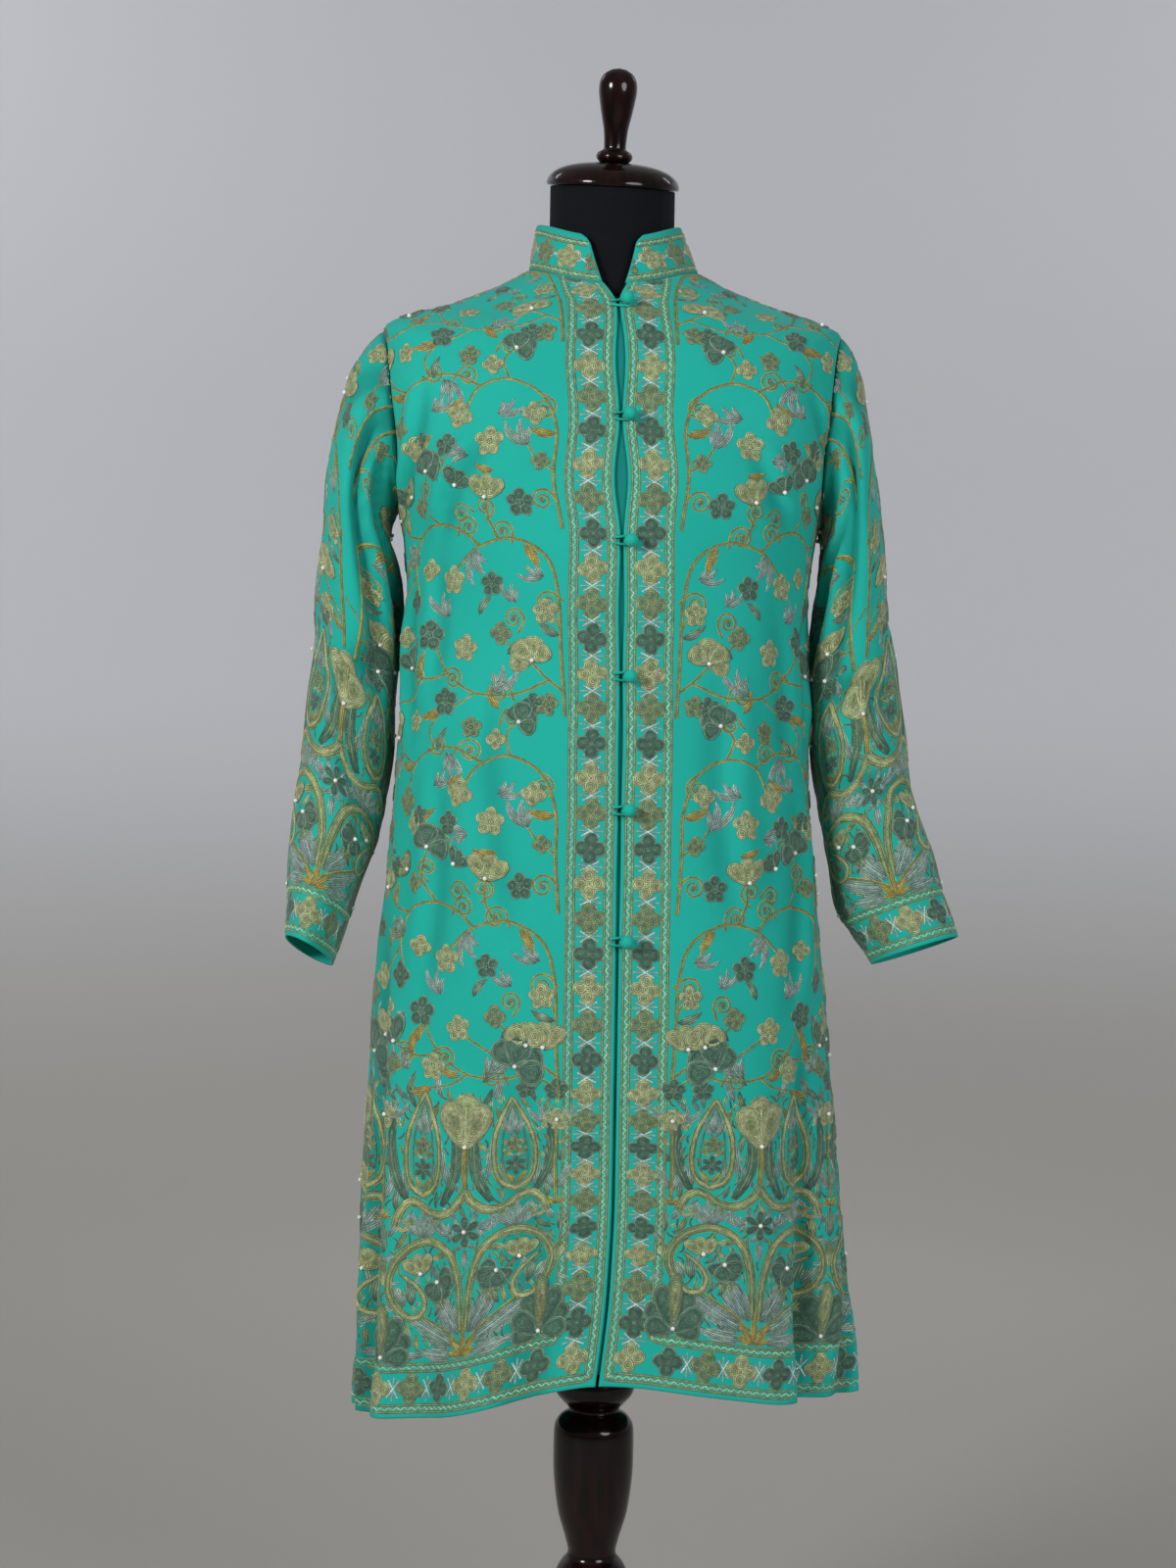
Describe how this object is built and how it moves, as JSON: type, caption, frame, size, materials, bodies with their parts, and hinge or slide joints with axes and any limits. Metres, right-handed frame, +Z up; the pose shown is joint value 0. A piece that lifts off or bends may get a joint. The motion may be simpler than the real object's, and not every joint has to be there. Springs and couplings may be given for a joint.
{
  "type": "long woollen jacket on a limbless dress form and stand",
  "caption": "Long embroidered wool jacket with a stand collar, ball buttons and set-in sleeves, on a limbless dress form and turned wooden stand.",
  "frame": {"origin": "middle of the underside of the stand's base, on the floor", "axes": "+Z up; the jacket's front faces -Y; the wearer's left is towards +X"},
  "size_m": [0.5989, 0.372, 1.5974],
  "materials": {
    "wool": "fine matte wool, chain-stitch embroidery",
    "trim": "cloth-covered balls and rolled cord of the same wool",
    "jersey": "stretched black jersey",
    "wood": "glossy dark mahogany lacquer"
  },
  "bodies": {
    "root": {"back": "wool", "front_left": "wool", "front_right": "wool", "sleeve_left": "wool", "sleeve_right": "wool", "collar": "wool", "underlap": "wool", "button_1": "trim", "button_2": "trim", "button_3": "trim", "button_4": "trim", "button_5": "trim", "button_6": "trim", "loop_1": "trim", "loop_2": "trim", "loop_3": "trim", "loop_4": "trim", "loop_5": "trim", "loop_6": "trim", "form": "jersey", "neck_cap": "wood", "finial": "wood", "post": "wood", "base": "wood"}
  },
  "joints": []
}
